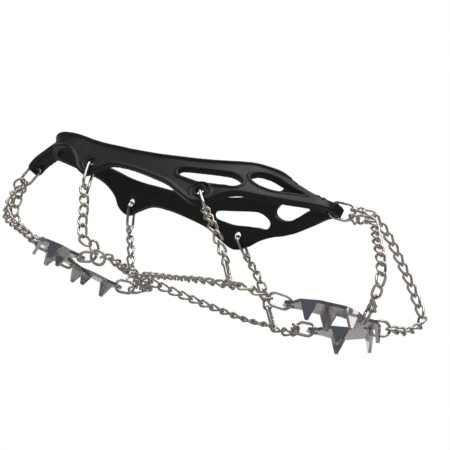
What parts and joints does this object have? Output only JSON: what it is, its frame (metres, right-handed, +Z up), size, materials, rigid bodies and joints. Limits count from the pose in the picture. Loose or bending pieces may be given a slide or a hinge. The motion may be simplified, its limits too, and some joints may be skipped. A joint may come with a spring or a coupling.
{
  "type": "shoe ice cleats",
  "caption": "Slip-on ice traction cleats: a black rubber harness for a shoe, with steel rings and chains that hold a spiked heel plate and a spiked forefoot plate under the sole.",
  "frame": {"origin": "on the forefoot plate's upper face, on the centre line, 38 mm in front of the line through its rear ring holes", "axes": "+X from heel to toe, +Y to the wearer's left, +Z up"},
  "size_m": [0.2952, 0.1, 0.096],
  "materials": {
    "rubber": "moulded, satin black",
    "plate_steel": "stamped stainless steel, bright polished",
    "ring_steel": "drawn stainless wire, polished",
    "chain_steel": "welded stainless curb chain, polished"
  },
  "bodies": {
    "harness": {"harness": "rubber"},
    "forefoot_plate": {"forefoot_plate": "plate_steel"},
    "heel_plate": {"heel_plate": "plate_steel"},
    "toe_ring": {"toe_ring": "ring_steel"},
    "heel_tab_ring": {"heel_tab_ring": "ring_steel"},
    "arch_ring": {"arch_ring": "ring_steel"},
    "heel_eyelet_ring_right": {"heel_eyelet_ring_right": "ring_steel"},
    "front_eyelet_ring_right": {"front_eyelet_ring_right": "ring_steel"},
    "heel_plate_front_ring_right": {"heel_plate_front_ring_right": "ring_steel"},
    "heel_junction_ring_right": {"heel_junction_ring_right": "ring_steel"},
    "heel_plate_rear_ring_right": {"heel_plate_rear_ring_right": "ring_steel"},
    "forefoot_plate_rear_ring_right": {"forefoot_plate_rear_ring_right": "ring_steel"},
    "forefoot_plate_front_ring_right": {"forefoot_plate_front_ring_right": "ring_steel"},
    "side_connector_right": {"side_connector_right": "ring_steel"},
    "toe_chain_right": {"toe_chain_right": "chain_steel"},
    "heel_back_chain_right": {"heel_back_chain_right": "chain_steel"},
    "heel_side_chain_right": {"heel_side_chain_right": "chain_steel"},
    "front_side_chain_right": {"front_side_chain_right": "chain_steel"},
    "heel_arch_chain_right": {"heel_arch_chain_right": "chain_steel"},
    "mid_arch_chain_right": {"mid_arch_chain_right": "chain_steel"},
    "outer_sole_chain_right": {"outer_sole_chain_right": "chain_steel"},
    "heel_eyelet_ring_left": {"heel_eyelet_ring_left": "ring_steel"},
    "front_eyelet_ring_left": {"front_eyelet_ring_left": "ring_steel"},
    "heel_plate_front_ring_left": {"heel_plate_front_ring_left": "ring_steel"},
    "heel_junction_ring_left": {"heel_junction_ring_left": "ring_steel"},
    "heel_plate_rear_ring_left": {"heel_plate_rear_ring_left": "ring_steel"},
    "forefoot_plate_rear_ring_left": {"forefoot_plate_rear_ring_left": "ring_steel"},
    "forefoot_plate_front_ring_left": {"forefoot_plate_front_ring_left": "ring_steel"},
    "side_connector_left": {"side_connector_left": "ring_steel"},
    "toe_chain_left": {"toe_chain_left": "chain_steel"},
    "heel_back_chain_left": {"heel_back_chain_left": "chain_steel"},
    "heel_side_chain_left": {"heel_side_chain_left": "chain_steel"},
    "front_side_chain_left": {"front_side_chain_left": "chain_steel"},
    "heel_arch_chain_left": {"heel_arch_chain_left": "chain_steel"},
    "mid_arch_chain_left": {"mid_arch_chain_left": "chain_steel"},
    "outer_sole_chain_left": {"outer_sole_chain_left": "chain_steel"}
  },
  "joints": [
    {"name": "heel_plate_rock", "type": "hinge", "parent": "harness", "child": "heel_plate", "pos_m": [-0.19691, 0, -0.00403], "axis": [0, 1, 0], "range_deg": [-2.5, 1.5]},
    {"name": "forefoot_plate_rock", "type": "hinge", "parent": "harness", "child": "forefoot_plate", "pos_m": [-0.01843, 0, -0.0036], "axis": [0, 1, 0], "range_deg": [-2.5, 0.8]},
    {"name": "toe_ring_turn", "type": "hinge", "parent": "harness", "child": "toe_ring", "pos_m": [-0.04123, 0, 0.06581], "axis": [0.9985, 0, -0.0548], "range_deg": [-5, 5]},
    {"name": "heel_tab_ring_turn", "type": "hinge", "parent": "harness", "child": "heel_tab_ring", "pos_m": [-0.25543, 0, 0.05711], "axis": [-0.3969, 0, -0.9179], "range_deg": [-5, 5]},
    {"name": "arch_ring_turn", "type": "hinge", "parent": "harness", "child": "arch_ring", "pos_m": [-0.14883, -0.0085, -0.00409], "axis": [0, 1, 0], "range_deg": [-5, 5]},
    {"name": "toe_chain_right_sway", "type": "hinge", "parent": "harness", "child": "toe_chain_right", "pos_m": [-0.02561, 0, 0.06237], "axis": [0.4702, -0.2597, -0.8435], "range_deg": [-7, 7]},
    {"name": "heel_back_chain_right_sway", "type": "hinge", "parent": "harness", "child": "heel_back_chain_right", "pos_m": [-0.25984, 0, 0.04195], "axis": [0.6292, -0.2938, -0.7196], "range_deg": [-6, 6]},
    {"name": "heel_side_chain_right_sway", "type": "hinge", "parent": "harness", "child": "heel_side_chain_right", "pos_m": [-0.19063, -0.0368, 0.03631], "axis": [0.4755, 0.0722, -0.8768], "range_deg": [-7, 7]},
    {"name": "front_side_chain_right_sway", "type": "hinge", "parent": "harness", "child": "front_side_chain_right", "pos_m": [-0.10183, -0.0418, 0.03571], "axis": [0.6245, -0.0688, -0.778], "range_deg": [-8, 8]},
    {"name": "heel_arch_chain_right_sway", "type": "hinge", "parent": "harness", "child": "heel_arch_chain_right", "pos_m": [-0.16263, -0.0316, -0.00409], "axis": [0.3817, 0.9243, 0], "range_deg": [-6, 6]},
    {"name": "mid_arch_chain_right_sway", "type": "hinge", "parent": "harness", "child": "mid_arch_chain_right", "pos_m": [-0.14549, -0.00701, -0.00409], "axis": [0.9018, -0.4312, -0.029], "range_deg": [-5, 5]},
    {"name": "outer_sole_chain_right_sway", "type": "hinge", "parent": "harness", "child": "outer_sole_chain_right", "pos_m": [-0.07053, -0.0471, -0.00631], "axis": [0.7771, 0.6289, 0.0241], "range_deg": [-7, 7]},
    {"name": "heel_eyelet_ring_right_turn", "type": "hinge", "parent": "harness", "child": "heel_eyelet_ring_right", "pos_m": [-0.19403, -0.0332, 0.05471], "axis": [0.1784, -0.1889, -0.9656], "range_deg": [-5, 5]},
    {"name": "front_eyelet_ring_right_turn", "type": "hinge", "parent": "harness", "child": "front_eyelet_ring_right", "pos_m": [-0.11123, -0.038, 0.04771], "axis": [0.5984, -0.2419, -0.7639], "range_deg": [-5, 5]},
    {"name": "side_connector_right_turn", "type": "hinge", "parent": "harness", "child": "side_connector_right", "pos_m": [-0.07823, -0.0444, 0.00631], "axis": [0.5179, -0.0388, -0.8546], "range_deg": [-5, 5]},
    {"name": "heel_junction_ring_right_turn", "type": "hinge", "parent": "harness", "child": "heel_junction_ring_right", "pos_m": [-0.17223, -0.0306, -0.00589], "axis": [0.9778, -0.1019, 0.1833], "range_deg": [-5, 5]},
    {"name": "heel_plate_front_ring_right_turn", "type": "hinge", "parent": "harness", "child": "heel_plate_front_ring_right", "pos_m": [-0.18208, -0.0292, -0.00628], "axis": [0.9882, -0.123, 0.0914], "range_deg": [-5, 5]},
    {"name": "heel_plate_rear_ring_right_turn", "type": "hinge", "parent": "harness", "child": "heel_plate_rear_ring_right", "pos_m": [-0.21174, -0.017, -0.00179], "axis": [-0.9842, 0, 0.1771], "range_deg": [-5, 5]},
    {"name": "forefoot_plate_rear_ring_right_turn", "type": "hinge", "parent": "harness", "child": "forefoot_plate_rear_ring_right", "pos_m": [-0.03749, -0.0275, -0.00628], "axis": [-0.9654, -0.2572, 0.0434], "range_deg": [-5, 5]},
    {"name": "forefoot_plate_front_ring_right_turn", "type": "hinge", "parent": "harness", "child": "forefoot_plate_front_ring_right", "pos_m": [0.00087, -0.00741, -0.00074], "axis": [0.4664, -0.8099, 0.3558], "range_deg": [-5, 5]},
    {"name": "toe_chain_left_sway", "type": "hinge", "parent": "harness", "child": "toe_chain_left", "pos_m": [-0.02533, 0, 0.06753], "axis": [0.4896, 0.188, -0.8514], "range_deg": [-7, 7]},
    {"name": "heel_back_chain_left_sway", "type": "hinge", "parent": "harness", "child": "heel_back_chain_left", "pos_m": [-0.26346, 0, 0.04351], "axis": [0.653, 0.2773, -0.7047], "range_deg": [-6, 6]},
    {"name": "heel_side_chain_left_sway", "type": "hinge", "parent": "harness", "child": "heel_side_chain_left", "pos_m": [-0.19063, 0.0368, 0.03631], "axis": [0.4755, -0.0722, -0.8768], "range_deg": [-7, 7]},
    {"name": "front_side_chain_left_sway", "type": "hinge", "parent": "harness", "child": "front_side_chain_left", "pos_m": [-0.10183, 0.0418, 0.03571], "axis": [0.6245, 0.0688, -0.778], "range_deg": [-8, 8]},
    {"name": "heel_arch_chain_left_sway", "type": "hinge", "parent": "harness", "child": "heel_arch_chain_left", "pos_m": [-0.16263, 0.0316, -0.00409], "axis": [0.3817, -0.9243, 0], "range_deg": [-6, 6]},
    {"name": "mid_arch_chain_left_sway", "type": "hinge", "parent": "harness", "child": "mid_arch_chain_left", "pos_m": [-0.14549, 0.00701, -0.00409], "axis": [0.9018, 0.4312, -0.029], "range_deg": [-5, 5]},
    {"name": "outer_sole_chain_left_sway", "type": "hinge", "parent": "harness", "child": "outer_sole_chain_left", "pos_m": [-0.07053, 0.0471, -0.00631], "axis": [0.7771, -0.6289, 0.0241], "range_deg": [-7, 7]},
    {"name": "heel_eyelet_ring_left_turn", "type": "hinge", "parent": "harness", "child": "heel_eyelet_ring_left", "pos_m": [-0.19403, 0.0332, 0.05471], "axis": [0.1784, 0.1889, -0.9656], "range_deg": [-5, 5]},
    {"name": "front_eyelet_ring_left_turn", "type": "hinge", "parent": "harness", "child": "front_eyelet_ring_left", "pos_m": [-0.11123, 0.038, 0.04771], "axis": [0.5984, 0.2419, -0.7639], "range_deg": [-5, 5]},
    {"name": "side_connector_left_turn", "type": "hinge", "parent": "harness", "child": "side_connector_left", "pos_m": [-0.07823, 0.0444, 0.00631], "axis": [0.5179, 0.0388, -0.8546], "range_deg": [-5, 5]},
    {"name": "heel_junction_ring_left_turn", "type": "hinge", "parent": "harness", "child": "heel_junction_ring_left", "pos_m": [-0.17223, 0.0306, -0.00589], "axis": [0.9778, 0.1019, 0.1833], "range_deg": [-5, 5]},
    {"name": "heel_plate_front_ring_left_turn", "type": "hinge", "parent": "harness", "child": "heel_plate_front_ring_left", "pos_m": [-0.18208, 0.0292, -0.00628], "axis": [0.9882, 0.123, 0.0914], "range_deg": [-5, 5]},
    {"name": "heel_plate_rear_ring_left_turn", "type": "hinge", "parent": "harness", "child": "heel_plate_rear_ring_left", "pos_m": [-0.21174, 0.017, -0.00179], "axis": [-0.9842, 0, 0.1771], "range_deg": [-5, 5]},
    {"name": "forefoot_plate_rear_ring_left_turn", "type": "hinge", "parent": "harness", "child": "forefoot_plate_rear_ring_left", "pos_m": [-0.03749, 0.0275, -0.00628], "axis": [-0.9654, 0.2572, 0.0434], "range_deg": [-5, 5]},
    {"name": "forefoot_plate_front_ring_left_turn", "type": "hinge", "parent": "harness", "child": "forefoot_plate_front_ring_left", "pos_m": [0.00104, 0.00726, -0.00081], "axis": [0.8192, 0.5255, 0.2295], "range_deg": [-5, 5]}
  ],
  "couplings": [
    {"joint": "heel_eyelet_ring_right_turn", "follows": "heel_side_chain_right_sway", "ratio": 0.6},
    {"joint": "front_eyelet_ring_right_turn", "follows": "front_side_chain_right_sway", "ratio": 0.6},
    {"joint": "side_connector_right_turn", "follows": "front_side_chain_right_sway", "ratio": 0.6},
    {"joint": "heel_junction_ring_right_turn", "follows": "heel_arch_chain_right_sway", "ratio": 0.6},
    {"joint": "heel_plate_front_ring_right_turn", "follows": "heel_arch_chain_right_sway", "ratio": 0.6},
    {"joint": "heel_plate_rear_ring_right_turn", "follows": "heel_back_chain_right_sway", "ratio": -0.6},
    {"joint": "forefoot_plate_rear_ring_right_turn", "follows": "outer_sole_chain_right_sway", "ratio": -0.6},
    {"joint": "forefoot_plate_front_ring_right_turn", "follows": "toe_chain_right_sway", "ratio": -0.6},
    {"joint": "heel_eyelet_ring_left_turn", "follows": "heel_side_chain_left_sway", "ratio": 0.6},
    {"joint": "front_eyelet_ring_left_turn", "follows": "front_side_chain_left_sway", "ratio": 0.6},
    {"joint": "side_connector_left_turn", "follows": "front_side_chain_left_sway", "ratio": 0.6},
    {"joint": "heel_junction_ring_left_turn", "follows": "heel_arch_chain_left_sway", "ratio": 0.6},
    {"joint": "heel_plate_front_ring_left_turn", "follows": "heel_arch_chain_left_sway", "ratio": 0.6},
    {"joint": "heel_plate_rear_ring_left_turn", "follows": "heel_back_chain_left_sway", "ratio": -0.6},
    {"joint": "forefoot_plate_rear_ring_left_turn", "follows": "outer_sole_chain_left_sway", "ratio": -0.6},
    {"joint": "forefoot_plate_front_ring_left_turn", "follows": "toe_chain_left_sway", "ratio": -0.6}
  ]
}
